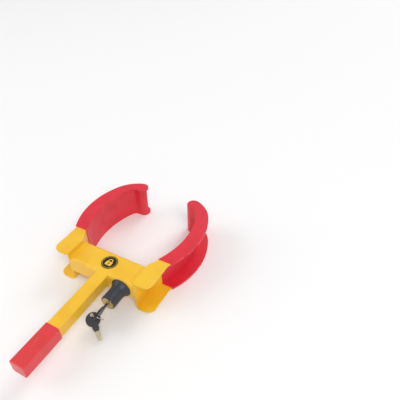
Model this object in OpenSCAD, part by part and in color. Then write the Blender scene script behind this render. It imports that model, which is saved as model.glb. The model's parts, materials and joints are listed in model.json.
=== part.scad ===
/* [Body] */
// Length of the hollow body across the tyre
body_len = 168; // [160:1:176]
// Depth of the body, from front wall to back wall
body_depth = 60; // [56:1:64]
// Height of the body
body_h = 44; // [42:1:46]
// Height of the body's underside over the ground
body_z = 22; // [18:1:24]
// Bend radius of the body's corners
body_bend = 8; // [6:1:10]
// Thickness of the sheet steel
sheet = 3; // [2.5:0.5:4]

/* [Jaws] */
// Height of a jaw over its two flanges, with its coat
jaw_h = 82; // [78:1:90]
// Half the gap between the jaws where they leave the body
root_x = 84; // [82:1:88]
// Half the widest gap between the jaws
cavity_x = 118; // [112:1:124]
// Half the width over the jaws at their widest, without the coat
outer_x = 149; // [144:1:154]
// Distance from the front wall to the jaws' widest place
wide_y = 162; // [155:1:170]
// Half the gap between the jaw tips' rounded ends, to the end's centre
tip_x = 76; // [72:1:82]
// Thickness of the soft coat on the jaws
coat = 1.2; // [0.8:0.1:1.5]
// Distance from the front wall to where the coat begins
coat_y = 75.5; // [70:0.5:90]

/* [Handle] */
// Side of the square handle tube
tube = 30; // [28:1:32]
// Distance from the front wall to the start of the grip
grip_start = 143; // [120:1:160]
// Distance from the front wall to the end of the grip
grip_end = 230; // [215:1:240]
// Thickness of the soft grip
grip_t = 1.7; // [1.2:0.1:2.5]
// Sideways place of the handle
handle_x = 3.75; // [0:0.25:6]

/* [Lock] */
// Sideways place of the lock
lock_x = 51; // [49:0.5:53]
// Height of the lock's centre line
lock_z = 45; // [44:0.5:46]
// Distance from the front wall to the lock's face
face_d = 45.5; // [45:0.5:48]
// Radius of the rubber boot's rim
boot_rim_r = 23; // [20:0.5:24]
// Angle of the key's blade to the level, in the open lock
key_angle = 70; // [0:5:85]
// Distance that the bolt is driven by a quarter turn
bolt_travel = 10; // [8:0.5:10]

/* [Adjustment] */
// Distance between the bolt holes in the slide bar
hole_pitch = 20; // [18:1:22]
// Number of bolt holes
hole_count = 6; // [3:1:6]

/* [Hidden] */
$fn = 48;
steel_yellow = [0.94, 0.75, 0.21];
dip_red = [0.84, 0.2, 0.25];
rubber_black = [0.1, 0.11, 0.12];
brass_tone = [0.8, 0.64, 0.32];
zinc_tone = [0.75, 0.76, 0.78];

gap = 0.3;                       // room between the sliding bar and the body
e = 0.01;                        // small overshoot for cuts
ample = 60;                      // overshoot of blocks and drills that cut right through

// ---- jaw outline, drawn for the right jaw; x is across, y is away from the front wall ----
cavity_r = 200;                  // long inner curve round the tyre
outer_r = 179;                   // long outer curve
root_r = 30;                     // bend where the web leaves the straight root
edge_x = 124;                    // outer edge of the flange beside the body
edge_r = 20;                     // hollow where the flange begins to widen
lobe_y = -4;                     // front end of the flanges
lobe_r = 18;                     // round outer corner of the front end
lobe_in_r = 8;                   // round inner corner of the front end
hook_r = 86;                     // outer curve of the hook
hook_a = 26;                     // angle at which the hook begins
tip_r = 14.5;                    // round end of the tip
throat_r = 16;                   // inner corner of the hook

cavity_c = [cavity_x - cavity_r, wide_y];
outer_c = [outer_x - outer_r, wide_y];
root_cx = root_x + root_r;
root_c = [root_cx, wide_y - sqrt(pow(cavity_r + root_r, 2) - pow(root_cx - cavity_c.x, 2))];
edge_cx = edge_x + edge_r;
edge_c = [edge_cx, wide_y - sqrt(pow(outer_r + edge_r, 2) - pow(edge_cx - outer_c.x, 2))];
hook_c = outer_c + (outer_r - hook_r) * [cos(hook_a), sin(hook_a)];
tip_a = acos((tip_x - hook_c.x) / (hook_r - tip_r));
tip_c = hook_c + (hook_r - tip_r) * [cos(tip_a), sin(tip_a)];
throat_a = asin((tip_c.y - tip_r - throat_r - wide_y) / (cavity_r - throat_r));
throat_c = cavity_c + (cavity_r - throat_r) * [cos(throat_a), sin(throat_a)];
root_a = atan2(root_c.y - cavity_c.y, root_c.x - cavity_c.x);
edge_a = atan2(outer_c.y - edge_c.y, outer_c.x - edge_c.x);

// The model's origin lies under the middle of the whole clamp
mid_y = (tip_c.y + tip_r + coat - grip_end) / 2;

// ---- lock, measured along its axis from the front wall towards the key ----
receiver_r = 14;
housing_r = 11;
plug_r = 6.5;
spindle_r = 3.5;
bolt_r = 7;
run = 0.06;                      // running clearance on a radius
shoulder_d = 26.6;               // shoulder that the housing stands off
bolt_rear_d = 26.3;
bolt_nose_d = -2.5;
spindle_end_d = 10.5;
pin_d = 13;                      // cross pin
pin_r = 1.4;
slot_r = 1.75;
wafer_t = 1;
wafer_pitch = 2.8;
wafer_ds = [for (i = [0:4]) 31 + wafer_pitch * i];
hole_r = 7.4;                    // bolt hole in the slide bar

// ---- keys, measured from the tip of the blade ----
blade_w = 8;
blade_t = 2.2;
blade_len = 30;
head_t = 3.8;
head_r = 14.5;
head_d = 43.5;                   // middle of the round head
eye_d = 53;                      // hole for the key ring
eye_r = 3.2;
neck_d = 19.5;                   // front end of the moulded neck
neck_w = 13;
neck_end_w = 9;                  // the neck narrows to this at its front end
key_tip_d = 28.5;                // tip of the inserted blade, from the front wall

// ---- key ring and the second key ----
ring_r = 13.75;
wire_r = 0.7;
ring_turn = [-149, 54, 131];     // turns of the ring about x, y and z
ring_place = 239;                // place of the second key round the ring
key_b_turn = [-61, 0, 55];       // turns of the hanging key

function arc(c, r, from, to, steps) =
    [for (i = [0:steps]) let (a = from + (to - from) * i / steps) c + r * [cos(a), sin(a)]];

// Outline of a flange, grown all round by g
function flange_outline(g) = concat(
    arc([edge_x - lobe_r, lobe_y + lobe_r], lobe_r + g, -90, 0, 10),
    arc(edge_c, edge_r - g, 180, edge_a, 5),
    arc(outer_c, outer_r + g, edge_a - 180, hook_a, 22),
    arc(hook_c, hook_r + g, hook_a, tip_a, 14),
    arc(tip_c, tip_r + g, tip_a, 270, 16),
    arc(throat_c, throat_r - g, 90, throat_a, 8),
    arc(cavity_c, cavity_r - g, throat_a, root_a, 24),
    arc(root_c, root_r + g, root_a + 180, 180, 5),
    arc([root_x + lobe_in_r, lobe_y + lobe_in_r], lobe_in_r + g, 180, 270, 6));

// Line of the web at depth d behind the face that grips the tyre
function web_line(d) = concat(
    [[root_x + d, 0]],
    arc(root_c, root_r - d, 180, root_a + 180, 5),
    arc(cavity_c, cavity_r + d, root_a, throat_a, 24),
    arc(throat_c, throat_r + d, throat_a, 90, 8),
    arc(tip_c, tip_r - d, 270, 190, 8));

function web_outline(g) =
    let (back = web_line(sheet + g))
    concat(web_line(-g), [for (i = [len(back) - 1:-1:0]) back[i]]);

module in_frame() { translate([0, -mid_y, 0]) children(); }
module along_x() { rotate([90, 0, 90]) children(); }
module at_lock() { in_frame() translate([lock_x, 0, lock_z]) rotate([90, 0, 0]) children(); }

module round_rect(w, h, r) {
    translate([r, 0]) square([w - 2 * r, h]);
    translate([0, r]) square([w, h - 2 * r]);
    for (x = [r, w - r], y = [r, h - r]) translate([x, y]) circle(r);
}

// A jaw as a channel that opens away from the tyre, grown all round by g
module channel(g) {
    flange_t = sheet + 2 * g;
    translate([0, 0, coat - g]) linear_extrude(jaw_h - 2 * coat + 2 * g)
        polygon(web_outline(g));
    for (z = [coat - g, jaw_h - coat + g - flange_t])
        translate([0, 0, z]) linear_extrude(flange_t) polygon(flange_outline(g));
}
module jaw() { color(steel_yellow) channel(0); }
module jaw_coat() {
    color(dip_red) difference() {
        channel(coat);
        channel(0);
        translate([-ample, -ample, -1])
            cube([outer_x + 2 * ample, coat_y + ample, jaw_h + 2]);
    }
}

module left_jaw() { in_frame() mirror([1, 0, 0]) jaw(); }
module left_jaw_coat() { in_frame() mirror([1, 0, 0]) jaw_coat(); }
module right_jaw() { in_frame() jaw(); }
module right_jaw_coat() { in_frame() jaw_coat(); }

// Body: a bent sheet box that is open towards the sliding jaw
module body_solid(inset, over = 0) {
    translate([-root_x - over, inset, body_z + inset])
        along_x() linear_extrude(body_len - gap + 2 * over)
            round_rect(body_depth - 2 * inset, body_h - 2 * inset, body_bend - inset);
}
module body_shell() {
    color(steel_yellow) in_frame() difference() {
        body_solid(0);
        body_solid(sheet, 1);
        translate([lock_x, -1, lock_z]) rotate([-90, 0, 0]) cylinder(r = bolt_r + 0.3, h = sheet + 2);
        translate([stop_x, stop_y, body_z - 1]) cylinder(r = stop_r, h = sheet + 2);
    }
}

// Slide bar: carries the right jaw and slides inside the body
bar_inset = sheet + gap;
bar_left = -root_x + 1;
stop_x = 66;
stop_y = 42;
stop_r = 3;
reach = hole_pitch * (hole_count - 1);
module bar_profile(inset, over = 0) {
    translate([bar_left - over, bar_inset + inset, body_z + bar_inset + inset])
        along_x() linear_extrude(root_x - bar_left + 2 * over)
            round_rect(body_depth - 2 * (bar_inset + inset), body_h - 2 * (bar_inset + inset),
                       body_bend - bar_inset - inset);
}
module slide_bar() {
    slot_hw = stop_r + 0.4;
    slot_ends = [stop_x - reach - 0.5, stop_x + 0.5];
    slot_h = bar_inset + sheet + 1;
    color(zinc_tone) in_frame() difference() {
        bar_profile(0);
        bar_profile(sheet, 1);
        for (i = [0:hole_count - 1])
            translate([lock_x - i * hole_pitch, 0, lock_z]) rotate([-90, 0, 0])
                cylinder(r = hole_r, h = bar_inset + sheet + 2);
        translate([0, stop_y, body_z]) {
            for (x = slot_ends) translate([x, 0, 0]) cylinder(r = slot_hw, h = slot_h);
            translate([slot_ends[0], -slot_hw, 0])
                cube([slot_ends[1] - slot_ends[0], 2 * slot_hw, slot_h]);
        }
    }
}

// Stop screw: its end runs in the bar's slot and keeps the jaw from being pulled out
module stop_screw() {
    head_h = 2.4;
    head_rs = [4, 5.5];              // outer face and underside
    socket_r = 1.7;
    socket_h = 1.6;
    color(zinc_tone) in_frame() translate([stop_x, stop_y, body_z]) difference() {
        union() {
            cylinder(r = stop_r, h = bar_inset + sheet);
            translate([0, 0, -head_h]) cylinder(r1 = head_rs[0], r2 = head_rs[1], h = head_h);
        }
        translate([0, 0, -head_h - e]) cylinder(r = socket_r, h = socket_h, $fn = 6);
    }
}

// Handle: a square tube that is coped over the body's upper bend
handle_drop = 0.6;               // the tube's top lies this far under the body's top
handle_z = body_z + body_h - handle_drop - tube;
tube_wall = 2;
tube_bend = 3.5;
grip_cap = 4;                    // thickness of the grip's closed end
module square_tube(side, wall, r) {
    difference() {
        round_rect(side, side, r);
        translate([wall, wall]) round_rect(side - 2 * wall, side - 2 * wall, r - wall);
    }
}
module handle_tube() {
    color(steel_yellow) in_frame() difference() {
        translate([handle_x - tube / 2, body_bend, handle_z]) rotate([90, 0, 0])
            linear_extrude(grip_end - grip_cap + body_bend) square_tube(tube, tube_wall, tube_bend);
        body_solid(0);
        translate([-root_x, sheet, body_z]) cube([body_len, body_depth, body_h - body_bend]);
    }
}
module handle_grip() {
    side = tube + 2 * grip_t;
    color(dip_red) in_frame() difference() {
        translate([handle_x - side / 2, -grip_start, handle_z - grip_t]) rotate([90, 0, 0])
            linear_extrude(grip_end - grip_start) round_rect(side, side, tube_bend + grip_t);
        translate([handle_x - tube / 2, -grip_start + e, handle_z]) rotate([90, 0, 0])
            linear_extrude(grip_end - grip_cap - grip_start + e) round_rect(tube, tube, tube_bend);
    }
}

module badge() {
    place = [1, 31];
    disc_r = 18;
    disc_t = 0.6;
    groove_rs = [15.4, 16.2];
    color(rubber_black) in_frame() translate([place.x, place.y, body_z + body_h])
        difference() {
            cylinder(r = disc_r, h = disc_t);
            translate([0, 0, disc_t - 0.2]) difference() {
                cylinder(r = groove_rs[1], h = 1);
                translate([0, 0, -1]) cylinder(r = groove_rs[0], h = 3);
            }
        }
}

// Receiver: steel tube welded to the front wall, bored for the bolt and the lock
module lock_receiver() {
    color(zinc_tone) at_lock() difference() {
        cylinder(r = receiver_r, h = face_d - face_t);
        translate([0, 0, -1]) cylinder(r = bolt_r + run, h = face_d);
        translate([0, 0, shoulder_d]) cylinder(r = housing_r, h = face_d);
        radial(guide_d, guide_a) cylinder(r = screw_r, h = ample);
        radial(hold_d, hold_a) cylinder(r = screw_r, h = ample);
    }
}
module radial(d, a) { translate([0, 0, d]) rotate([0, 90, a]) children(); }
guide_d = 6;
guide_a = 250;
hold_d = 35;                     // screw that holds the housing
hold_a = 200;
screw_r = 2;
hold_bite = 1.5;                 // how far its point enters the housing
face_t = 1.5;                    // face ring

// Boot: rubber cover that flares out against the front wall
module lock_boot() {
    boot_r = 16.3;
    flare_r = 12;
    flare_c = [boot_r + flare_r, 15];
    lip_r = 1.2;
    rim_t = 2;
    flare_a = acos((boot_r + flare_r - boot_rim_r) / flare_r);
    color(rubber_black) at_lock() rotate_extrude($fn = 96)
        polygon(concat(
            [[receiver_r, 0], [boot_rim_r, 0], [boot_rim_r, rim_t]],
            arc(flare_c, flare_r, 180 + flare_a, 180, 10),
            arc([boot_r - lip_r, face_d - 0.5 - lip_r], lip_r, 0, 90, 5),
            [[receiver_r, face_d - 0.5]]));
}

// Housing: fixed barrel in which the plug turns
module lock_housing() {
    front_d = face_d - 0.2;
    rear_d = shoulder_d + 1.9;
    wafer_groove = [5.2, plug_r + 1.6, 15];
    color(zinc_tone) at_lock() difference() {
        translate([0, 0, rear_d]) cylinder(r = housing_r, h = front_d - rear_d);
        cylinder(r = plug_r + run, h = ample);
        translate([0, 0, front_d - 1.8]) cylinder(r = plug_r + 1.1, h = 3);
        radial(hold_d, hold_a) translate([0, 0, housing_r - hold_bite]) cylinder(r = screw_r, h = 3);
        for (a = [0, 180]) rotate([0, 0, key_angle + a])
            translate([-wafer_groove.x / 2, 0, 28]) cube(wafer_groove);
    }
}
module lock_face_ring() {
    color(brass_tone) at_lock() difference() {
        translate([0, 0, face_d - face_t]) cylinder(r = receiver_r, h = face_t);
        cylinder(r = housing_r, h = ample);
    }
}

// Plug: turns with the key; its slots hold the wafers, its spindle drives the bolt
wafer_w = 4.8;
wafer_len = 12;
wing = [2.9, 1];                 // arm of a wafer that its spring pushes
wing_u = 2.2;
pocket_v = 4.3;
module wafer_blank(slack, thick) {
    translate([-wafer_len / 2 - slack, -wafer_w / 2 - slack, -thick / 2])
        cube([wafer_len + 2 * slack, wafer_w + 2 * slack, thick]);
    translate([wing_u - slack, wafer_w / 2 - 0.1, -thick / 2])
        cube([wing.y + 2 * slack, wing.x + slack, thick]);
}
module lock_plug() {
    color(brass_tone) at_lock() rotate([0, 0, key_angle]) difference() {
        union() {
            translate([0, 0, bolt_rear_d + 0.5]) cylinder(r = plug_r, h = face_d - bolt_rear_d - 1);
            translate([0, 0, face_d - 1.9]) cylinder(r = plug_r + 1, h = 2);
            translate([0, 0, spindle_end_d]) cylinder(r = spindle_r, h = 18);
        }
        difference() {
            translate([0, 0, shoulder_d + 0.6]) cylinder(r = plug_r + 1, h = 1.1);
            translate([0, 0, shoulder_d]) cylinder(r = plug_r - 0.8, h = 3);
        }
        translate([-blade_w / 2 - 0.2, -blade_t / 2 - 0.2, key_tip_d - 0.3])
            cube([blade_w + 0.4, blade_t + 0.4, 30]);
        for (d = wafer_ds) translate([0, 0, d]) {
            wafer_blank(0.1, wafer_t + 0.2);
            translate([-2, pocket_v, 0]) rotate([0, 90, 0]) cylinder(r = 1, h = wing_u + 2.1);
        }
        translate([0, 0, pin_d]) rotate([90, 0, 0])
            cylinder(r = pin_r, h = 4 * spindle_r, center = true);
    }
}
module plug_clip() {
    color(zinc_tone) at_lock() translate([0, 0, shoulder_d + 0.7]) difference() {
        cylinder(r = 9, h = 0.9);
        translate([0, 0, -1]) cylinder(r = plug_r - 0.8, h = 3);
        translate([0, -2.2, -1]) cube([12, 4.4, 3]);
    }
}
module wafer_tumblers() {
    color(brass_tone) at_lock() rotate([0, 0, key_angle])
        for (d = wafer_ds) translate([0, 0, d]) difference() {
            wafer_blank(0, wafer_t);
            cube([blade_w + 0.5, blade_t + 0.5, 3], center = true);
        }
}
// Wafer spring: a coil swept along a helix
module coil(r, wire, length, turns) {
    steps = turns * 10;
    sides = 6;
    points = [for (i = [0:steps], k = [0:sides - 1])
        let (a = 360 * turns * i / steps, b = 360 * k / sides, q = r + wire * cos(b))
        [q * cos(a), q * sin(a), wire + (length - 2 * wire) * i / steps + wire * sin(b)]];
    walls = [for (i = [0:steps - 1], k = [0:sides - 1], half = [0, 1])
        let (p = i * sides + k, n = i * sides + (k + 1) % sides)
            half == 0 ? [p, p + sides, n + sides] : [p, n + sides, n]];
    ends = [[for (k = [0:sides - 1]) k], [for (k = [sides - 1:-1:0]) steps * sides + k]];
    polyhedron(points, concat(walls, ends), convexity = 6);
}
module wafer_springs() {
    color(zinc_tone) at_lock() rotate([0, 0, key_angle])
        for (d = wafer_ds) translate([-1.95, pocket_v, d]) rotate([0, 90, 0])
            coil(0.65, 0.16, wing_u + 1.85, 5);
}
module cross_pin() {
    color(zinc_tone) at_lock() rotate([0, 0, key_angle]) translate([0, 0, pin_d])
        rotate([90, 0, 0]) cylinder(r = pin_r, h = 2 * bolt_r - 0.4, center = true);
}

// Bolt: a sleeve over the spindle; its helical slots turn the key's turn into a slide
module lock_bolt() {
    step_a = 10;
    color(zinc_tone) at_lock() difference() {
        union() {
            translate([0, 0, bolt_nose_d + 1]) cylinder(r = bolt_r, h = bolt_rear_d - bolt_nose_d - 1);
            translate([0, 0, bolt_nose_d]) cylinder(r1 = bolt_r - 1, r2 = bolt_r, h = 1);
        }
        translate([0, 0, spindle_end_d - 0.5]) cylinder(r = spindle_r + run, h = 30);
        for (a = [0:step_a:90])
            rotate([0, 0, key_angle + a]) translate([0, 0, pin_d + bolt_travel * a / 90])
                rotate([90, 0, 0]) cylinder(r = slot_r, h = 3 * bolt_r, center = true);
        rotate([0, 0, guide_a]) translate([bolt_r - 1.5, -1.6, bolt_nose_d + 6.5])
            cube([3, 3.2, bolt_travel + 5.4]);
    }
}
module set_screw(length) {
    difference() {
        cylinder(r = screw_r, h = length);
        translate([0, 0, length - 1.2]) cylinder(r = 1, h = 2, $fn = 6);
    }
}
// Guide screw: its dog point runs in the bolt's groove, so that the bolt can't turn
module guide_screw() {
    color(zinc_tone) at_lock() radial(guide_d, guide_a) {
        translate([0, 0, bolt_r + 0.4]) set_screw(receiver_r - bolt_r - 0.6);
        translate([0, 0, bolt_r - 1.2]) cylinder(r = 1.4, h = 2);
    }
}
module housing_screw() {
    color(zinc_tone) at_lock() radial(hold_d, hold_a)
        translate([0, 0, housing_r - hold_bite]) set_screw(receiver_r - housing_r + hold_bite - 0.2);
}

// ---- keys: a flat blade with a round moulded head ----
module key_blade() {
    cuts = [1.5, 0.8, 1.9, 1.1, 1.6];
    cut_w = 1.2;
    first_cut = wafer_ds[0] - key_tip_d - cut_w / 2;
    bevel = 2.4;
    through = blade_t + 2;
    color(brass_tone) translate([-blade_w / 2, -blade_t / 2, 0]) difference() {
        cube([blade_w, blade_t, blade_len]);
        for (i = [0:len(cuts) - 1]) translate([0, -1, first_cut + wafer_pitch * i]) {
            translate([-e, 0, 0]) cube([cuts[i], through, cut_w]);
            translate([blade_w - cuts[len(cuts) - 1 - i], 0, 0]) cube([3, through, cut_w]);
        }
        for (x = [0, blade_w]) translate([x, -1, 0]) rotate([0, 45, 0])
            cube([bevel, through, bevel]);
    }
}
module key_head() {
    neck_taper = 6;
    neck_len = head_d - head_r + 2.5 - neck_d;
    color(rubber_black) difference() {
        union() {
            translate([0, head_t / 2, head_d]) rotate([90, 0, 0])
                cylinder(r = head_r, h = head_t, $fn = 72);
            translate([0, head_t / 2, neck_d]) rotate([90, 0, 0]) linear_extrude(head_t)
                polygon([[-neck_end_w / 2, 0], [neck_end_w / 2, 0], [neck_w / 2, neck_taper],
                         [neck_w / 2, neck_len], [-neck_w / 2, neck_len], [-neck_w / 2, neck_taper]]);
        }
        translate([-blade_w / 2, -blade_t / 2, 0]) cube([blade_w, blade_t, blade_len]);
        translate([0, 10, eye_d]) rotate([90, 0, 0]) cylinder(r = eye_r, h = 20);
    }
}
module key_a_place() { at_lock() rotate([0, 0, key_angle]) translate([0, 0, key_tip_d]) children(); }
module key_a_blade() { key_a_place() key_blade(); }
module key_a_head() { key_a_place() key_head(); }

// The ring leaves key A's eye; the second key hangs from the ring by its own eye
module at_eye_a() {
    in_frame() translate([lock_x, -key_tip_d - eye_d, lock_z]) rotate(ring_turn) children();
}
module key_ring() {
    color(zinc_tone) at_eye_a() translate([ring_r, 0, 0])
        rotate_extrude($fn = 64) translate([ring_r, 0]) circle(wire_r, $fn = 16);
}
module key_b_place() {
    at_eye_a() translate(ring_r * [1 - cos(ring_place), sin(ring_place), 0])
        unturn() rotate(key_b_turn) translate([0, 0, -eye_d]) children();
}
// Undoes the ring's turns, so that the second key's own turns count from the frame
module unturn() {
    rotate([-ring_turn.x, 0, 0]) rotate([0, -ring_turn.y, 0]) rotate([0, 0, -ring_turn.z]) children();
}
module key_b_blade() { key_b_place() key_blade(); }
module key_b_head() { key_b_place() key_head(); }

body_shell();
left_jaw();
left_jaw_coat();
right_jaw();
right_jaw_coat();
slide_bar();
stop_screw();
handle_tube();
handle_grip();
badge();
lock_receiver();
lock_boot();
lock_housing();
lock_face_ring();
lock_plug();
plug_clip();
wafer_tumblers();
wafer_springs();
cross_pin();
lock_bolt();
guide_screw();
housing_screw();
key_a_blade();
key_a_head();
key_ring();
key_b_blade();
key_b_head();
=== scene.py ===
import json
import math

import bmesh
import bpy
from bpy.props import FloatProperty, FloatVectorProperty, IntProperty, PointerProperty
from mathutils import Matrix, Vector
from mathutils.bvhtree import BVHTree

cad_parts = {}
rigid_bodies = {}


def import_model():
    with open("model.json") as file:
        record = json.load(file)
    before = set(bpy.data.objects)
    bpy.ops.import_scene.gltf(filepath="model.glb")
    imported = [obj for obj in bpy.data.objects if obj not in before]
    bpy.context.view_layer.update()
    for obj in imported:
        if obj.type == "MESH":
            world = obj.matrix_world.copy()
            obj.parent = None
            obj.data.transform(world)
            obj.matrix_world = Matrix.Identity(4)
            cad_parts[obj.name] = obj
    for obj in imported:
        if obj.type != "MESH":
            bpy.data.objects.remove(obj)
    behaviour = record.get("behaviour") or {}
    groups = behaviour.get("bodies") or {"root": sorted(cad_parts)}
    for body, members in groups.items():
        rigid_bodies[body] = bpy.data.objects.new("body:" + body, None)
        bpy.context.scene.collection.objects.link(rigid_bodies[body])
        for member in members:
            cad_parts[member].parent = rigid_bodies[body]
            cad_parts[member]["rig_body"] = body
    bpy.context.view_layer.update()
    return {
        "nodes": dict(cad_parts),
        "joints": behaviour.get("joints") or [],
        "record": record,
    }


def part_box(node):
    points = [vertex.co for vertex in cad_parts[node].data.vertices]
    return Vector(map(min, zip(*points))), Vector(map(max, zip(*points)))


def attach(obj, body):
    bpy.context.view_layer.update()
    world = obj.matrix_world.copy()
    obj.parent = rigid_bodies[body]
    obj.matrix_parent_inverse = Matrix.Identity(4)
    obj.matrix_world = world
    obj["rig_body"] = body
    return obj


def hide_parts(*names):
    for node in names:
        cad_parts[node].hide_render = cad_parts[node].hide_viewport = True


bl_info = {
    "name": "Wheel Clamp",
    "version": (1, 0, 0),
    "blender": (4, 5, 0),
    "location": "View3D > Sidebar > Wheel Clamp",
    "description": "Builds the looks of a keyed wheel clamp round its packed frame",
    "category": "Add Mesh",
}

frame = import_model()

MM = 0.001
MERGE = 0.002 * MM                 # points closer than this are one point
FLAT = math.radians(0.6)           # faces that meet flatter than this are one face
SHARP = math.radians(35)           # edges sharper than this get rounded
LAID_ON = 0.1 * MM                 # coat faces closer to the steel than this lie on it
WAVE_PITCH = 0.314                 # distance between a wave texture's rings at scale 1
UP = Vector((0, 0, 1))
JOINTS = {joint["name"]: joint for joint in frame["joints"]}
SLOTS = {row["node"]: row["material_slot"] for row in frame["record"]["subparts"]}


def srgb(red, green, blue):
    """A colour as mixed on a screen, 0 to 255, in the linear values that shaders use"""
    def linear(value):
        value /= 255
        return value / 12.92 if value <= 0.04045 else ((value + 0.055) / 1.055) ** 2.4
    return tuple(linear(value) for value in (red, green, blue))


# ---------------------------------------------------------------- sizes and colours

def length(name, description, millimetres):
    return FloatProperty(name=name, description=description, default=millimetres * MM,
                         min=0.0, unit="LENGTH", subtype="DISTANCE")


def colour(name, description, red, green, blue):
    return FloatVectorProperty(name=name, description=description, size=3, min=0.0, max=1.0,
                               default=srgb(red, green, blue), subtype="COLOR")


class ClampSizes(bpy.types.PropertyGroup):
    """Sizes that shape the details of the clamp"""
    fold: length("Fold", "Outside radius of the bends along a jaw's channel", 2.6)
    inner_fold: length("Inner fold", "Inside radius of the bends along a jaw's channel", 2.0)
    cut_edge: length("Cut edge", "Rounding of a cut steel edge under its paint", 0.6)
    dip_fold: length("Dip fold", "Radius of the soft coat over a jaw's bends", 3.6)
    dip_edge: length("Dip edge", "Radius of the soft coat over a jaw's cut edges", 1.5)
    grip_edge: length("Grip edge", "Rounding of the grip's ends", 1.8)
    body_bend: length("Body bend", "Bend radius of the body's corners", 8)
    bead: length("Weld bead", "Radius of a weld bead", 1.7)
    ripple: length("Weld ripple", "Distance between two ripples of a weld bead", 2.3)
    boot_barrel: length("Boot barrel", "Radius of the rubber boot's straight part", 16.3)
    boot_flare: length("Boot flare", "Length of the boot's flared foot", 15)
    head_rim: length("Key head rim", "Outside radius of the raised rim on a key's head", 13.9)
    rim_width: length("Rim width", "Width of that rim", 0.9)
    rim_height: length("Rim height", "Height of that rim over the head", 0.3)
    eye_reach: length("Eye reach", "Distance from a key's eye to the middle of its head", 9.5)
    wire: length("Ring wire", "Radius of the split ring's wire", 0.45)
    sides: IntProperty(name="Sides", description="Sides of a round bar", default=12, min=6)


class ClampColours(bpy.types.PropertyGroup):
    """Colours of the clamp's finishes"""
    paint: colour("Paint", "Powder coat on the steel", 244, 194, 44)
    paint_deep: colour("Paint, deep", "Powder coat where it lies thicker", 234, 174, 30)
    dip: colour("Dip", "Soft coat on the jaws", 222, 40, 58)
    dip_deep: colour("Dip, deep", "Soft coat where it lies thicker", 200, 24, 44)
    grip: colour("Grip", "Sleeve on the handle", 222, 58, 62)
    rubber: colour("Rubber", "Boot over the lock", 44, 50, 57)
    plastic: colour("Plastic", "Moulded key heads", 28, 29, 31)
    brass: colour("Brass", "Trim ring, plug and wafers", 212, 180, 104)
    key_metal: colour("Key metal", "Milled nickel brass of the key blades", 172, 164, 134)
    nickel: colour("Nickel", "Lock face and split ring", 205, 205, 196)
    zinc: colour("Zinc", "Plated slide bar, bolt and screws", 196, 199, 204)


# ---------------------------------------------------------------- shader maths

class Signal:
    """A node's socket, on which Python's operators add Math nodes"""

    def __init__(self, finish, socket):
        self.finish = finish
        self.socket = socket

    def math(self, operation, first, second=0.0):
        return self.finish.node("ShaderNodeMath", {"operation": operation},
                                {0: first, 1: second})

    def __add__(self, other):
        return self.math("ADD", self, other)

    def __radd__(self, other):
        return self.math("ADD", other, self)

    def __mul__(self, other):
        return self.math("MULTIPLY", self, other)

    def above(self, level, softness):
        """0 below level, 1 a softness above it, and smooth in between"""
        return self.finish.node(
            "ShaderNodeMapRange", {"interpolation_type": "SMOOTHSTEP"},
            {"Value": self, "From Min": level, "From Max": level + softness})


class Finish:
    """A material round one Principled shader"""

    def __init__(self, name, **even):
        self.material = bpy.data.materials.new(name)
        self.material.use_nodes = True
        self.tree = self.material.node_tree
        self.tree.nodes.clear()
        self.shader = self.tree.nodes.new("ShaderNodeBsdfPrincipled")
        output = self.tree.nodes.new("ShaderNodeOutputMaterial")
        self.tree.links.new(self.shader.outputs[0], output.inputs["Surface"])
        for socket, value in even.items():
            self.set(socket.replace("_", " ").title(), value)
        self.place = self.node("ShaderNodeTexCoord", output="Object")

    def node(self, kind, settings=None, inputs=None, output=0):
        made = self.tree.nodes.new(kind)
        for key, value in (settings or {}).items():
            setattr(made, key, value)
        for key, value in (inputs or {}).items():
            if isinstance(value, Signal):
                self.tree.links.new(value.socket, made.inputs[key])
            else:
                made.inputs[key].default_value = value
        return Signal(self, made.outputs[output])

    def set(self, socket, value):
        if isinstance(value, Signal):
            self.tree.links.new(value.socket, self.shader.inputs[socket])
        else:
            self.shader.inputs[socket].default_value = value

    def grain(self, size, detail=2.0, stretch=(1, 1, 1)):
        """Noise whose features are about size across, drawn out by stretch"""
        place = self.node("ShaderNodeMapping", {"vector_type": "POINT"},
                          {"Vector": self.place, "Scale": [1 / s for s in stretch]})
        return self.node("ShaderNodeTexNoise", {"noise_dimensions": "3D"},
                         {"Vector": place, "Scale": 1 / size, "Detail": detail})

    def rings(self, centre, pitch):
        """Turned rings round an axis along Y through centre"""
        place = self.node("ShaderNodeMapping", {"vector_type": "POINT"},
                          {"Vector": self.place, "Location": -centre})
        return self.node("ShaderNodeTexWave",
                         {"wave_type": "RINGS", "rings_direction": "Y"},
                         {"Vector": place, "Scale": WAVE_PITCH / pitch, "Distortion": 0.4})

    def blend(self, amount, first, second):
        return self.node("ShaderNodeMix", {"data_type": "RGBA"},
                         {0: amount, 6: self.rgba(first), 7: self.rgba(second)}, output=2)

    @staticmethod
    def rgba(value):
        return value if isinstance(value, Signal) else (*value, 1.0)

    def edge_highlight_mask(self):
        """1 on the faces of rounded edges, where the finishes paint a highlight, 0 elsewhere"""
        return self.node("ShaderNodeAttribute", {"attribute_name": "edge"}, output="Fac")

    def relief(self, height, depth, strength=1.0):
        """Bumps of that depth from a height between 0 and 1"""
        self.set("Normal", self.node("ShaderNodeBump", None, {
            "Height": height, "Distance": depth, "Strength": strength}))


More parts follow.
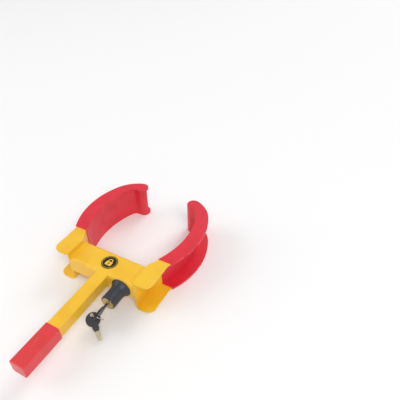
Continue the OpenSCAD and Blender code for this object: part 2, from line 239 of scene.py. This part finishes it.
def powder_coat(name, paint, deep):
    """Glossy powder coat: orange peel, uneven thickness, and a lighter tone on the rounded edges
    for thinner paint and a painted highlight
    """
    finish = Finish(name, coat_roughness=0.22, coat_weight=0.3)
    cloud = finish.grain(60 * MM, 3)
    speck = finish.grain(0.5 * MM, 1)
    peel = finish.grain(1.7 * MM, 1)
    thin_paint_and_highlight = finish.edge_highlight_mask() * finish.grain(7 * MM, 3).above(0.42, 0.25)
    base = finish.blend(cloud.above(0.35, 0.4) * 0.7, paint, deep)
    base = finish.blend(speck.above(0.62, 0.12) * 0.25, base, deep)
    # A lighter paint on the rounded edges, partly thinner paint and partly a painted highlight
    light = tuple(min(1.0, channel * 1.12 + 0.05) for channel in paint)
    finish.set("Base Color", finish.blend(thin_paint_and_highlight * 0.55, base, light))
    finish.set("Roughness", 0.3 + cloud * 0.1 + speck * 0.06)
    finish.relief(peel * 0.8 + speck * 0.2, 0.07 * MM, 0.55)
    return finish.material


def soft_vinyl(name, tone, deep, roughness, pebble):
    """Soft plastisol: slow waves from dipping, fine pebbling, and a painted highlight on the
    rounded edges
    """
    finish = Finish(name, coat_roughness=0.35, coat_weight=0.1)
    wave = finish.grain(22 * MM, 2)
    fine = finish.grain(pebble, 2)
    scuff = finish.grain(5 * MM, 4, (1, 5, 1)).above(0.6, 0.14)
    base = finish.blend(wave.above(0.35, 0.4) * 0.45, tone, deep)
    pale = tuple(min(1.0, channel + 0.06) for channel in tone)
    base = finish.blend(scuff * 0.3, base, pale)
    # Paler rounded edges are a painted highlight
    finish.set("Base Color", finish.blend(finish.edge_highlight_mask() * 0.4, base, pale))
    finish.set("Roughness", roughness + wave * 0.08 + scuff * 0.1)
    finish.relief(wave * 0.5 + fine * 0.5, 0.16 * MM, 0.4)
    return finish.material


def rubber(name, tone):
    """Moulded rubber: fine grain, bloom and a painted highlight on the rounded edges"""
    finish = Finish(name)
    bloom = finish.grain(9 * MM, 4)
    fine = finish.grain(0.45 * MM, 2)
    pale = tuple(channel * 1.9 + 0.012 for channel in tone)
    base = finish.blend(bloom.above(0.5, 0.3) * 0.35, tone, pale)
    # Paler rounded edges are a painted highlight
    finish.set("Base Color", finish.blend(finish.edge_highlight_mask() * 0.5, base, pale))
    finish.set("Roughness", 0.36 + bloom * 0.14 + fine * 0.05)
    finish.relief(fine, 0.05 * MM, 0.5)
    return finish.material


def moulded_plastic(name, tone, roughness):
    """Moulded plastic with a fine spark-eroded grain, a few scratches and a painted highlight on
    the rounded edges
    """
    finish = Finish(name)
    fine = finish.grain(0.3 * MM, 2)
    scratch = finish.grain(0.5 * MM, 2, (1, 14, 1)).above(0.66, 0.05)
    pale = tuple(channel + 0.05 for channel in tone)
    base = finish.blend(scratch * 0.35, tone, pale)
    # Paler rounded edges are a painted highlight
    finish.set("Base Color", finish.blend(finish.edge_highlight_mask() * 0.35, base, pale))
    finish.set("Roughness", roughness + fine * 0.12 + scratch * 0.1)
    finish.relief(fine, 0.04 * MM, 0.5)
    return finish.material


def plated_metal(name, tone, stain, roughness, stretch):
    """Plated metal with fine drawn lines, a slight stain and a painted highlight on the rounded
    edges
    """
    finish = Finish(name, metallic=1.0)
    line = finish.grain(0.25 * MM, 2, stretch)
    cloud = finish.grain(14 * MM, 3)
    base = finish.blend(cloud.above(0.4, 0.35) * 0.6, tone, stain)
    # Brighter rounded edges are a painted highlight
    bright = tuple(min(1.0, channel * 1.25) for channel in tone)
    finish.set("Base Color", finish.blend(finish.edge_highlight_mask() * 0.6, base, bright))
    finish.set("Roughness", roughness + line * 0.14 + cloud * 0.06)
    finish.relief(line, 0.02 * MM, 0.5)
    return finish.material


def turned_metal(name, tone, roughness, centre):
    """Metal turned on a lathe about the lock's axis"""
    finish = Finish(name, metallic=1.0)
    ring = finish.rings(centre, 0.35 * MM)
    cloud = finish.grain(3 * MM, 3)
    dull = tuple(channel * 0.7 for channel in tone)
    finish.set("Base Color", finish.blend(cloud.above(0.45, 0.3) * 0.5, tone, dull))
    finish.set("Roughness", roughness + ring * 0.1 + cloud * 0.08)
    finish.relief(ring, 0.015 * MM, 0.5)
    return finish.material


def pale_floor():
    finish = Finish("pale_floor")
    finish.set("Base Color", finish.blend(finish.grain(400 * MM) * 0.2, (0.93,) * 3, (0.9,) * 3))
    finish.set("Roughness", 0.85)
    return finish.material


def lock_axis():
    """Middle of the lock's face, from which the lock's axis runs along +Y"""
    low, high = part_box("lock_face_ring")
    return Vector(((low.x + high.x) / 2, low.y, (low.z + high.z) / 2))


def make_finishes():
    tones = bpy.context.scene.clamp_colours
    c = {name: tuple(getattr(tones, name)) for name in ClampColours.__annotations__}
    pale_zinc = tuple(channel * 0.86 for channel in c["zinc"])
    return {
        "yellow_paint": powder_coat("yellow_powder_coat", c["paint"], c["paint_deep"]),
        "red_vinyl_dip": soft_vinyl("red_vinyl_dip", c["dip"], c["dip_deep"], 0.36, 0.6 * MM),
        "red_grip": soft_vinyl("red_grip_sleeve", c["grip"],
                               tuple(channel * 0.86 for channel in c["grip"]), 0.32, 0.4 * MM),
        "zinc_plate": plated_metal("zinc_plate", c["zinc"], pale_zinc, 0.26, (30, 1, 1)),
        "black_rubber": rubber("black_rubber", c["rubber"]),
        "black_plastic": moulded_plastic("black_key_plastic", c["plastic"], 0.28),
        "brass": plated_metal("drawn_brass", c["brass"],
                              tuple(channel * 0.8 for channel in c["brass"]), 0.2, (1, 1, 12)),
        "key_metal": plated_metal("milled_key_metal", c["key_metal"],
                                  tuple(channel * 0.7 for channel in c["key_metal"]), 0.38,
                                  (1, 1, 12)),
        "turned_brass": turned_metal("turned_brass", c["brass"], 0.16, lock_axis()),
        "nickel": turned_metal("turned_nickel", c["nickel"], 0.14, lock_axis()),
        "badge_print": moulded_plastic("black_badge_film", srgb(24, 24, 24), 0.2),
        "badge_yellow": moulded_plastic("yellow_badge_ink", c["paint"], 0.3),
    }


FINISHES = {}


# ---------------------------------------------------------------- mesh work

def clean_copy(node):
    """A CAD node's shape with its triangles joined and its flat faces whole"""
    bm = bmesh.new()
    bm.from_mesh(frame["nodes"][node].data)
    bmesh.ops.remove_doubles(bm, verts=bm.verts, dist=MERGE)
    bmesh.ops.dissolve_degenerate(bm, edges=bm.edges, dist=MERGE)
    bmesh.ops.dissolve_limit(bm, angle_limit=FLAT, verts=bm.verts, edges=bm.edges)
    bm.faces.layers.float.new("edge")
    return bm


def is_sharp(edge):
    return len(edge.link_faces) == 2 and edge.calc_face_angle(0) > SHARP


def round_edges(bm, edges, radius, segments=3):
    """Rounds the edges and marks the new faces, on which the finishes paint a highlight"""
    if not edges:
        return
    made = bmesh.ops.bevel(bm, geom=edges, offset=radius, offset_type="OFFSET",
                           segments=segments, profile=0.5, affect="EDGES", material=-1,
                           clamp_overlap=True, loop_slide=True)
    mark = bm.faces.layers.float["edge"]
    for face in made["faces"]:
        face[mark] = 1.0


def round_all(bm, radius, segments=3):
    round_edges(bm, [edge for edge in bm.edges if is_sharp(edge)], radius, segments)


def is_fold(edge, wall_height):
    """Whether a tall wall meets a flat flange along this edge"""
    def height(face):
        heights = [vert.co.z for vert in face.verts]
        return max(heights) - min(heights)
    if not is_sharp(edge):
        return False
    first, second = sorted(edge.link_faces, key=lambda face: abs(face.normal.z))
    return (abs(first.normal.z) < 0.1 and abs(second.normal.z) > 0.9
            and height(first) > wall_height)


def add_piece(bm, name, body, slot, finish=None, replaced=()):
    """Makes a piece of a bmesh: even shading, its finish, and the CAD body it rides on"""
    mesh = bpy.data.meshes.new(name)
    bm.to_mesh(mesh)
    bm.free()
    mesh.materials.append(FINISHES[finish or slot])
    mesh.shade_smooth()
    mesh.set_sharp_from_angle(angle=SHARP)
    piece = bpy.data.objects.new(name, mesh)
    bpy.context.scene.collection.objects.link(piece)
    even = piece.modifiers.new("even_shading", "WEIGHTED_NORMAL")
    even.keep_sharp = True
    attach(piece, body)
    if replaced:
        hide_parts(*replaced)
    return piece


def stand_in(node, name, bm, finish=None):
    """A piece that stands for a CAD node, in that node's body and slot"""
    return add_piece(bm, name, frame["nodes"][node]["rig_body"], SLOTS[node], finish, [node])


def turned_places(path):
    """A place at each point of a path, with its Z along the path and no sudden twist"""
    places = []
    turn = None
    for i, point in enumerate(path):
        ahead = (path[min(i + 1, len(path) - 1)] - path[max(i - 1, 0)]).normalized()
        if turn is None:
            turn = ahead.to_track_quat("Z", "Y")
        else:
            turn = last.rotation_difference(ahead) @ turn
        last = ahead
        places.append(Matrix.Translation(point) @ turn.to_matrix().to_4x4())
    return places


def sweep(bm, path, radii, sides):
    """A round bar along a path, closed at both ends"""
    here = None
    for place, radius in zip(turned_places(path), radii):
        before, here = here, place @ Matrix.Scale(radius, 4)
        if before is None:
            first = bmesh.ops.create_circle(bm, cap_ends=True, segments=sides, radius=1.0,
                                            matrix=here)
            ring = list({edge for vert in first["verts"] for edge in vert.link_edges})
            continue
        grown = bmesh.ops.extrude_edge_only(bm, edges=ring)["geom"]
        verts = {item for item in grown if isinstance(item, bmesh.types.BMVert)}
        ring = [item for item in grown if isinstance(item, bmesh.types.BMEdge)
                and verts.issuperset(item.verts)]
        bmesh.ops.transform(bm, matrix=here @ before.inverted(), verts=list(verts))
    bmesh.ops.edgeloop_fill(bm, edges=ring)
    bmesh.ops.recalc_face_normals(bm, faces=bm.faces)


def spun(outline, place, steps=96):
    """A closed solid turned about the Z axis of a place.
    The outline holds pairs of a radius and a distance along that axis."""
    bm = bmesh.new()
    bm.faces.layers.float.new("edge")
    verts = [bm.verts.new((r, 0, d)) for r, d in outline]
    edges = [bm.edges.new((verts[i - 1], verts[i])) for i in range(len(verts))]
    bmesh.ops.spin(bm, geom=verts + edges, cent=(0, 0, 0), axis=(0, 0, 1),
                   angle=2 * math.pi, steps=steps, use_merge=True)
    bmesh.ops.remove_doubles(bm, verts=bm.verts, dist=MERGE)
    bmesh.ops.recalc_face_normals(bm, faces=bm.faces)
    bmesh.ops.transform(bm, matrix=place, verts=bm.verts)
    return bm


def arc(across, along, radius, start, end, steps):
    """Points on a part of a circle, with the angles in degrees"""
    angles = [math.radians(start + (end - start) * i / steps) for i in range(steps + 1)]
    return [(across + radius * math.cos(a), along + radius * math.sin(a)) for a in angles]


def spaced(path, step):
    """The same path with a point at least every step"""
    points = [path[0]]
    for before, after in zip(path, path[1:]):
        count = max(1, math.ceil((after - before).length / step))
        points += [before.lerp(after, i / count) for i in range(1, count + 1)]
    return points


def dress(node, finish):
    """Gives a CAD node that is shown as it is its material"""
    thing = frame["nodes"][node]
    if not thing.material_slots:
        thing.data.materials.append(None)
    for holder in thing.material_slots:
        holder.link = "OBJECT"
        holder.material = FINISHES[finish]


# ---------------------------------------------------------------- operators

class PieceOperator:
    """What the clamp's operators share"""
    bl_options = {"REGISTER", "UNDO"}

    @property
    def sizes(self):
        return bpy.context.scene.clamp_sizes

    def execute(self, context):
        self.build()
        return {"FINISHED"}


class CLAMP_OT_finishes(PieceOperator, bpy.types.Operator):
    """Mix the paint, dip, rubber, plastic and metal finishes"""
    bl_idname = "clamp.finishes"
    bl_label = "Finishes"

    def build(self):
        FINISHES.update(make_finishes())


class CLAMP_OT_body(PieceOperator, bpy.types.Operator):
    """Build the bent sheet body"""
    bl_idname = "clamp.body"
    bl_label = "Body"

    def build(self):
        bm = clean_copy("body_shell")
        round_all(bm, self.sizes.cut_edge)
        stand_in("body_shell", "body_shell_bent", bm)


class CLAMP_OT_jaws(PieceOperator, bpy.types.Operator):
    """Build the two pressed channel jaws under their paint"""
    bl_idname = "clamp.jaws"
    bl_label = "Jaws"

    def build(self):
        for side in ("left", "right"):
            node = f"{side}_jaw"
            low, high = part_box(node)
            wall = (high.z - low.z) / 2
            bm = clean_copy(node)
            folds = [edge for edge in bm.edges if is_fold(edge, wall)]
            inner = [edge for edge in folds if not edge.is_convex]
            round_edges(bm, inner, self.sizes.inner_fold, 4)
            outer = [edge for edge in bm.edges if is_fold(edge, wall) and edge.is_convex]
            round_edges(bm, outer, self.sizes.fold, 5)
            round_all(bm, self.sizes.cut_edge)
            stand_in(node, f"{side}_jaw_pressed", bm)


class CLAMP_OT_coats(PieceOperator, bpy.types.Operator):
    """Build the soft coats over the jaws"""
    bl_idname = "clamp.coats"
    bl_label = "Coats"

    def build(self):
        for side in ("left", "right"):
            node = f"{side}_jaw_coat"
            low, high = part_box(node)
            wall = (high.z - low.z) / 2
            jaw = clean_copy(f"{side}_jaw")
            steel = BVHTree.FromBMesh(jaw)
            jaw.free()
            bm = clean_copy(node)

            def shows(edge):
                return all(steel.find_nearest(face.calc_center_median())[3] > LAID_ON
                           for face in edge.link_faces)
            folds = [edge for edge in bm.edges if is_fold(edge, wall) and shows(edge)]
            round_edges(bm, [edge for edge in folds if not edge.is_convex],
                        self.sizes.inner_fold, 4)
            folds = [edge for edge in bm.edges if is_fold(edge, wall) and shows(edge)]
            round_edges(bm, [edge for edge in folds if edge.is_convex],
                        self.sizes.dip_fold, 6)
            rest = [edge for edge in bm.edges if is_sharp(edge) and shows(edge)]
            round_edges(bm, rest, self.sizes.dip_edge, 4)
            stand_in(node, f"{side}_jaw_dip", bm)


class CLAMP_OT_handle(PieceOperator, bpy.types.Operator):
    """Build the square handle tube and its grip"""
    bl_idname = "clamp.handle"
    bl_label = "Handle"

    def build(self):
        tube = clean_copy("handle_tube")
        stand_in("handle_tube", "handle_tube_drawn", tube)
        grip = clean_copy("handle_grip")
        low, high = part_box("handle_grip")
        ends = [edge for edge in grip.edges if is_sharp(edge) and edge.is_convex
                and all(abs(vert.co.y - low.y) < MERGE for vert in edge.verts)]
        round_edges(grip, ends, self.sizes.grip_edge, 5)
        round_all(grip, self.sizes.cut_edge)
        stand_in("handle_grip", "handle_grip_sleeve", grip)


class CLAMP_OT_slide_bar(PieceOperator, bpy.types.Operator):
    """Build the slide bar and the screw that stops it"""
    bl_idname = "clamp.slide_bar"
    bl_label = "Slide bar"

    def build(self):
        for node, name, radius in (("slide_bar", "slide_bar_plated", 0.4 * MM),
                                   ("stop_screw", "stop_screw_plated", 0.2 * MM)):
            bm = clean_copy(node)
            round_all(bm, radius, 2)
            stand_in(node, name, bm)


class CLAMP_OT_welds(PieceOperator, bpy.types.Operator):
    """Run the painted weld beads round the handle and the fixed jaw"""
    bl_idname = "clamp.welds"
    bl_label = "Welds"

    def lay(self, path, name):
        sizes = self.sizes
        path = spaced(path, sizes.ripple / 5)
        radii = []
        travelled = 0.0
        for i, point in enumerate(path):
            travelled += (point - path[max(i - 1, 0)]).length
            phase = travelled / sizes.ripple % 1.0
            radii.append(sizes.bead * (0.88 + 0.14 * math.sin(math.pi * phase)))
        radii[0] = radii[-1] = sizes.bead * 0.4
        bm = bmesh.new()
        bm.faces.layers.float.new("edge")
        sweep(bm, path, radii, sizes.sides)
        add_piece(bm, name, "clamp_body", "yellow_paint")

    def build(self):
        bend = self.sizes.body_bend
        body_low, body_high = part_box("body_shell")
        tube_low, tube_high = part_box("handle_tube")
        corner = 3.5 * MM

        def wall_y(z):
            """Where the front wall is at height z, round its upper bend"""
            rise = max(0.0, z - (body_high.z - bend))
            return body_low.y + bend - math.sqrt(bend ** 2 - min(rise, bend) ** 2)

        top = tube_high.z - 1.5 * corner
        u_shape = [(tube_low.x, top)]
        u_shape += arc(tube_low.x + corner, tube_low.z + corner, corner, 180, 270, 5)
        u_shape += arc(tube_high.x - corner, tube_low.z + corner, corner, 270, 360, 5)
        u_shape += [(tube_high.x, top)]
        handle = spaced([Vector((x, 0, z)) for x, z in u_shape], 1 * MM)
        self.lay([Vector((p.x, wall_y(p.z), p.z)) for p in handle], "weld_handle")

        front, back = body_low.y + bend, body_high.y - bend
        c_shape = [(front, body_high.z)]
        c_shape += arc(back, body_high.z - bend, bend, 90, 0, 6)
        c_shape += arc(back, body_low.z + bend, bend, 0, -90, 6)
        c_shape += [(front, body_low.z)]
        self.lay([Vector((body_low.x, y, z)) for y, z in c_shape], "weld_fixed_jaw")


class CLAMP_OT_badge(PieceOperator, bpy.types.Operator):
    """Build the round badge with its padlock sign"""
    bl_idname = "clamp.badge"
    bl_label = "Badge"
    ink = 0.12 * MM                    # height of the raised ink
    case = (15 * MM, 11 * MM)          # the padlock's width and height
    case_corner = 1.6 * MM
    case_drop = 3.5 * MM               # from the badge's middle down to the case's
    shackle_radii = (3.4 * MM, 5.4 * MM)
    shackle_leg = 2.2 * MM
    shackle_rise = 4 * MM
    hole_radius = 1.6 * MM             # the keyhole's round part
    hole_drop = 2.2 * MM
    slot = (2.6 * MM, 4 * MM)          # the keyhole's foot, narrower at its top
    slot_drop = 4.9 * MM
    slot_narrow = 0.55
    rim = (15.5 * MM, 16.1 * MM)       # the printed ring's radii
    rim_height = 0.3 * MM
    rim_sunk = 0.2 * MM                # how deep the ring sits in the disc

    def plate(self, bm, width, height, across, along, corner, narrow=1.0):
        """A flat plate with round corners, narrower at its top by that share"""
        made = bmesh.ops.create_grid(bm, x_segments=1, y_segments=1, size=0.5)["verts"]
        for vert in made:
            share = narrow if vert.co.y > 0 else 1.0
            vert.co = Vector((across + vert.co.x * width * share,
                              along + vert.co.y * height, 0))
        if corner:
            bmesh.ops.bevel(bm, geom=made, offset=corner, segments=4, profile=0.5,
                            affect="VERTICES", material=-1)

    def raise_ink(self, bm, place):
        """Gives flat faces their thickness and puts them in place"""
        made = bmesh.ops.extrude_face_region(bm, geom=bm.faces[:])["geom"]
        verts = [item for item in made if isinstance(item, bmesh.types.BMVert)]
        bmesh.ops.translate(bm, verts=verts, vec=UP * self.ink)
        bmesh.ops.recalc_face_normals(bm, faces=bm.faces)
        bmesh.ops.translate(bm, verts=bm.verts, vec=place)

    def build(self):
        low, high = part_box("badge")
        place = Vector(((low.x + high.x) / 2, (low.y + high.y) / 2, high.z))
        disc = clean_copy("badge")
        round_all(disc, 0.08 * MM, 2)
        stand_in("badge", "badge_disc", disc)

        sign = bmesh.new()
        self.plate(sign, *self.case, 0, -self.case_drop, self.case_corner)
        self.raise_ink(sign, place)
        shackle = bmesh.new()
        ends = [shackle.verts.new((r, 0, 0)) for r in self.shackle_radii]
        line = shackle.edges.new(ends)
        bmesh.ops.spin(shackle, geom=ends + [line], cent=(0, 0, 0), axis=(0, 0, 1),
                       angle=math.pi, steps=16, use_merge=False)
        feet = [edge for edge in shackle.edges if edge.is_boundary
                and all(abs(vert.co.y) < MERGE for vert in edge.verts)]
        legs = bmesh.ops.extrude_edge_only(shackle, edges=feet)["geom"]
        low_verts = [item for item in legs if isinstance(item, bmesh.types.BMVert)]
        bmesh.ops.translate(shackle, verts=low_verts, vec=(0, -self.shackle_leg, 0))
        self.raise_ink(shackle, place + Vector((0, self.shackle_rise, 0)))
        body = frame["nodes"]["badge"]["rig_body"]
        for name, bm in (("badge_padlock", sign), ("badge_shackle", shackle)):
            bm.faces.layers.float.new("edge")
            add_piece(bm, name, body, "badge_print", "badge_yellow")

        keyhole = bmesh.new()
        bmesh.ops.create_circle(keyhole, cap_ends=True, segments=20,
                                radius=self.hole_radius,
                                matrix=Matrix.Translation((0, -self.hole_drop, 0)))
        self.plate(keyhole, *self.slot, 0, -self.slot_drop, 0, self.slot_narrow)
        self.raise_ink(keyhole, place + UP * self.ink * 0.5)
        keyhole.faces.layers.float.new("edge")
        add_piece(keyhole, "badge_keyhole", body, "badge_print")

        inside, outside = self.rim
        outline = [(inside, 0), (outside, 0), (outside, self.rim_height),
                   (inside, self.rim_height)]
        ring = spun(outline, Matrix.Translation(place - UP * self.rim_sunk), 72)
        add_piece(ring, "badge_ring", body, "badge_print", "badge_yellow")


class CLAMP_OT_lock(PieceOperator, bpy.types.Operator):
    """Build the rubber boot and the lock's face"""
    bl_idname = "clamp.lock"
    bl_label = "Lock"

    def build(self):
        sizes = self.sizes
        low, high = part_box("lock_boot")
        inner = (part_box("lock_receiver")[1].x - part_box("lock_receiver")[0].x) / 2
        rim, barrel, foot = (high.x - low.x) / 2, sizes.boot_barrel, sizes.boot_flare
        depth = high.y - low.y
        centre = Vector(((low.x + high.x) / 2, high.y, (low.z + high.z) / 2))
        edge, bead, lip = 0.8 * MM, 0.45 * MM, 1.4 * MM
        flare = foot - 2 * edge
        straight, bead_at, bead_end, lip_at = (depth - back * MM for back in (6, 4.9, 3.8, 1.6))
        outline = [(inner, 0)]
        outline += arc(rim - edge, edge, edge, -90, 0, 4)
        outline += arc(rim - edge, 1.4 * edge, edge, 0, 60, 3)
        outline += [(barrel + (rim - barrel - edge) * (1 - math.sin(math.pi / 2 * t)),
                     2 * edge + flare * t) for t in [0.04 + 0.08 * i for i in range(12)]]
        outline += [(barrel, foot + 1.5 * MM), (barrel, straight)]
        outline += arc(barrel, bead_at, bead, -60, 60, 5)
        outline += [(barrel, bead_end), (barrel, lip_at)]
        outline += arc(barrel - lip, depth - lip, lip, 10, 90, 5)
        outline += [(inner, depth)]
        outward = Matrix.Translation(centre) @ Matrix.Rotation(math.pi / 2, 4, "X")
        boot = spun(outline, outward)
        stand_in("lock_boot", "lock_boot_moulded", boot)

        for node, name, radius, finish in (
                ("lock_face_ring", "lock_face_ring_turned", 0.35 * MM, "turned_brass"),
                ("lock_housing", "lock_housing_turned", 0.2 * MM, "nickel")):
            bm = clean_copy(node)
            round_all(bm, radius, 2)
            stand_in(node, name, bm, finish)
        dress("lock_plug", "turned_brass")


class CLAMP_OT_keys(PieceOperator, bpy.types.Operator):
    """Build the two keys and the split ring"""
    bl_idname = "clamp.keys"
    bl_label = "Keys"

    def head(self, key, eye):
        """A rounded head with a raised rim on both sides"""
        sizes = self.sizes
        node = f"{key}_head"
        bm = clean_copy(node)
        flat = max(bm.faces, key=lambda face: face.calc_area())
        normal, height = flat.normal.copy(), flat.calc_center_median()
        round_all(bm, 0.5 * MM, 3)
        stand_in(node, f"{node}_moulded", bm)

        low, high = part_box(f"{key}_blade")
        centre = eye + sizes.eye_reach * ((low + high) / 2 - eye).normalized()
        half = abs((height - centre).dot(normal))
        inside, outside = sizes.head_rim - sizes.rim_width, sizes.head_rim
        low_d, high_d = half - 0.1 * MM, half + sizes.rim_height
        soft = sizes.rim_height / 2
        outline = [(inside, low_d), (outside, low_d), (outside, high_d - soft),
                   (outside - soft, high_d), (inside + soft, high_d), (inside, high_d - soft)]
        for side, way in (("front", normal), ("back", -normal)):
            turn = way.to_track_quat("Z", "Y").to_matrix().to_4x4()
            rim = spun(outline, Matrix.Translation(centre) @ turn)
            add_piece(rim, f"{node}_rim_{side}", frame["nodes"][node]["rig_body"], SLOTS[node])

    def build(self):
        for key, joint in (("key_a", "ring_swing"), ("key_b", "second_key_swing")):
            self.head(key, Vector(JOINTS[joint]["pos_m"]))
            blade = clean_copy(f"{key}_blade")
            round_all(blade, 0.12 * MM, 2)
            stand_in(f"{key}_blade", f"{key}_blade_milled", blade, "key_metal")

        # The ring touches both keys' hinges, and each hinge's axis runs along its wire
        eye = Vector(JOINTS["ring_swing"]["pos_m"])
        along = Vector(JOINTS["ring_swing"]["axis"]).normalized()
        chord = Vector(JOINTS["second_key_swing"]["pos_m"]) - eye
        inward = (chord - along * chord.dot(along)).normalized()
        radius = chord.length_squared / (2 * chord.dot(inward))
        centre = eye + inward * radius
        normal = along.cross(inward)
        wire, turns, steps = self.sizes.wire, 1.9, 150
        pitch = 1.7 * wire
        path = []
        for i in range(steps + 1):
            angle = 2 * math.pi * turns * (i / steps - 0.5)
            lift = pitch * (i / steps - 0.5) * turns
            path.append(centre + radius * (math.cos(angle) * inward + math.sin(angle) * along)
                        + normal * lift)
        ring = bmesh.new()
        ring.faces.layers.float.new("edge")
        sweep(ring, path, [wire] * len(path), 10)
        stand_in("key_ring", "key_ring_split", ring)


class CLAMP_OT_inner_parts(PieceOperator, bpy.types.Operator):
    """Finish the parts inside the lock, whose shapes stay as they are"""
    bl_idname = "clamp.inner_parts"
    bl_label = "Inner parts"

    def build(self):
        for node in ("lock_receiver", "plug_clip", "wafer_springs", "cross_pin",
                     "lock_bolt", "guide_screw", "housing_screw"):
            dress(node, "zinc_plate")
        dress("wafer_tumblers", "brass")


class CLAMP_OT_stage(PieceOperator, bpy.types.Operator):
    """Set up the floor, the soft lights and the camera"""
    bl_idname = "clamp.stage"
    bl_label = "Stage"

    # Each lamp's name, its place and width in metres, and its power in watts
    lamps = (("key_light", (4.6, -4.0, 6.6), 5.0, 344),
             ("fill_light", (-6.7, -3.1, 5.0), 6.3, 207),
             ("back_light", (1.3, 7.2, 5.8), 5.4, 225))
    floor_size = 20
    floor_gap = 0.3 * MM               # keeps the floor clear of the faces that rest on it

    def lamp(self, name, place, size, power):
        data = bpy.data.lights.new(name, "AREA")
        data.shape = "DISK"
        data.size = size
        data.energy = power
        light = bpy.data.objects.new(name, data)
        light.location = place
        light.rotation_euler = (-Vector(place)).to_track_quat("-Z", "Y").to_euler()
        bpy.context.scene.collection.objects.link(light)

    def build(self):
        scene = bpy.context.scene
        bm = bmesh.new()
        bmesh.ops.create_grid(bm, x_segments=1, y_segments=1, size=self.floor_size)
        bmesh.ops.translate(bm, verts=bm.verts, vec=-UP * self.floor_gap)
        mesh = bpy.data.meshes.new("floor")
        bm.to_mesh(mesh)
        bm.free()
        mesh.materials.append(pale_floor())
        floor = bpy.data.objects.new("floor", mesh)
        scene.collection.objects.link(floor)

        for lamp in self.lamps:
            self.lamp(*lamp)
        world = bpy.data.worlds.new("studio")
        world.use_nodes = True
        world.node_tree.nodes["Background"].inputs["Color"].default_value = (1, 1, 1, 1)
        world.node_tree.nodes["Background"].inputs["Strength"].default_value = 0.5
        scene.world = world
        scene.view_settings.view_transform = "Standard"

        data = bpy.data.cameras.new("camera")
        data.lens = 36
        data.sensor_width = 36
        camera = bpy.data.objects.new("camera", data)
        camera.location = (0.4447, -0.4282, 0.7043)
        camera.rotation_euler = (math.radians(90 - 38.5), 0, math.radians(27.6))
        scene.collection.objects.link(camera)
        scene.camera = camera


STEPS = (CLAMP_OT_stage, CLAMP_OT_finishes, CLAMP_OT_body, CLAMP_OT_jaws, CLAMP_OT_coats,
         CLAMP_OT_handle, CLAMP_OT_slide_bar, CLAMP_OT_welds, CLAMP_OT_badge,
         CLAMP_OT_lock, CLAMP_OT_keys, CLAMP_OT_inner_parts)


class CLAMP_PT_panel(bpy.types.Panel):
    """The clamp's sizes, colours and building steps"""
    bl_idname = "CLAMP_PT_panel"
    bl_label = "Wheel Clamp"
    bl_space_type = "VIEW_3D"
    bl_region_type = "UI"
    bl_category = "Wheel Clamp"

    def draw(self, context):
        for group in (context.scene.clamp_sizes, context.scene.clamp_colours):
            for name in type(group).__annotations__:
                self.layout.prop(group, name)
        for step in STEPS:
            self.layout.operator(step.bl_idname)


CLASSES = (ClampSizes, ClampColours, *STEPS, CLAMP_PT_panel)


def register():
    for cls in CLASSES:
        bpy.utils.register_class(cls)
    bpy.types.Scene.clamp_sizes = PointerProperty(type=ClampSizes)
    bpy.types.Scene.clamp_colours = PointerProperty(type=ClampColours)


def unregister():
    del bpy.types.Scene.clamp_colours
    del bpy.types.Scene.clamp_sizes
    for cls in reversed(CLASSES):
        bpy.utils.unregister_class(cls)


def main():
    register()
    for step in STEPS:
        group, name = step.bl_idname.split(".")
        getattr(getattr(bpy.ops, group), name)()


if __name__ == "__main__":
    main()
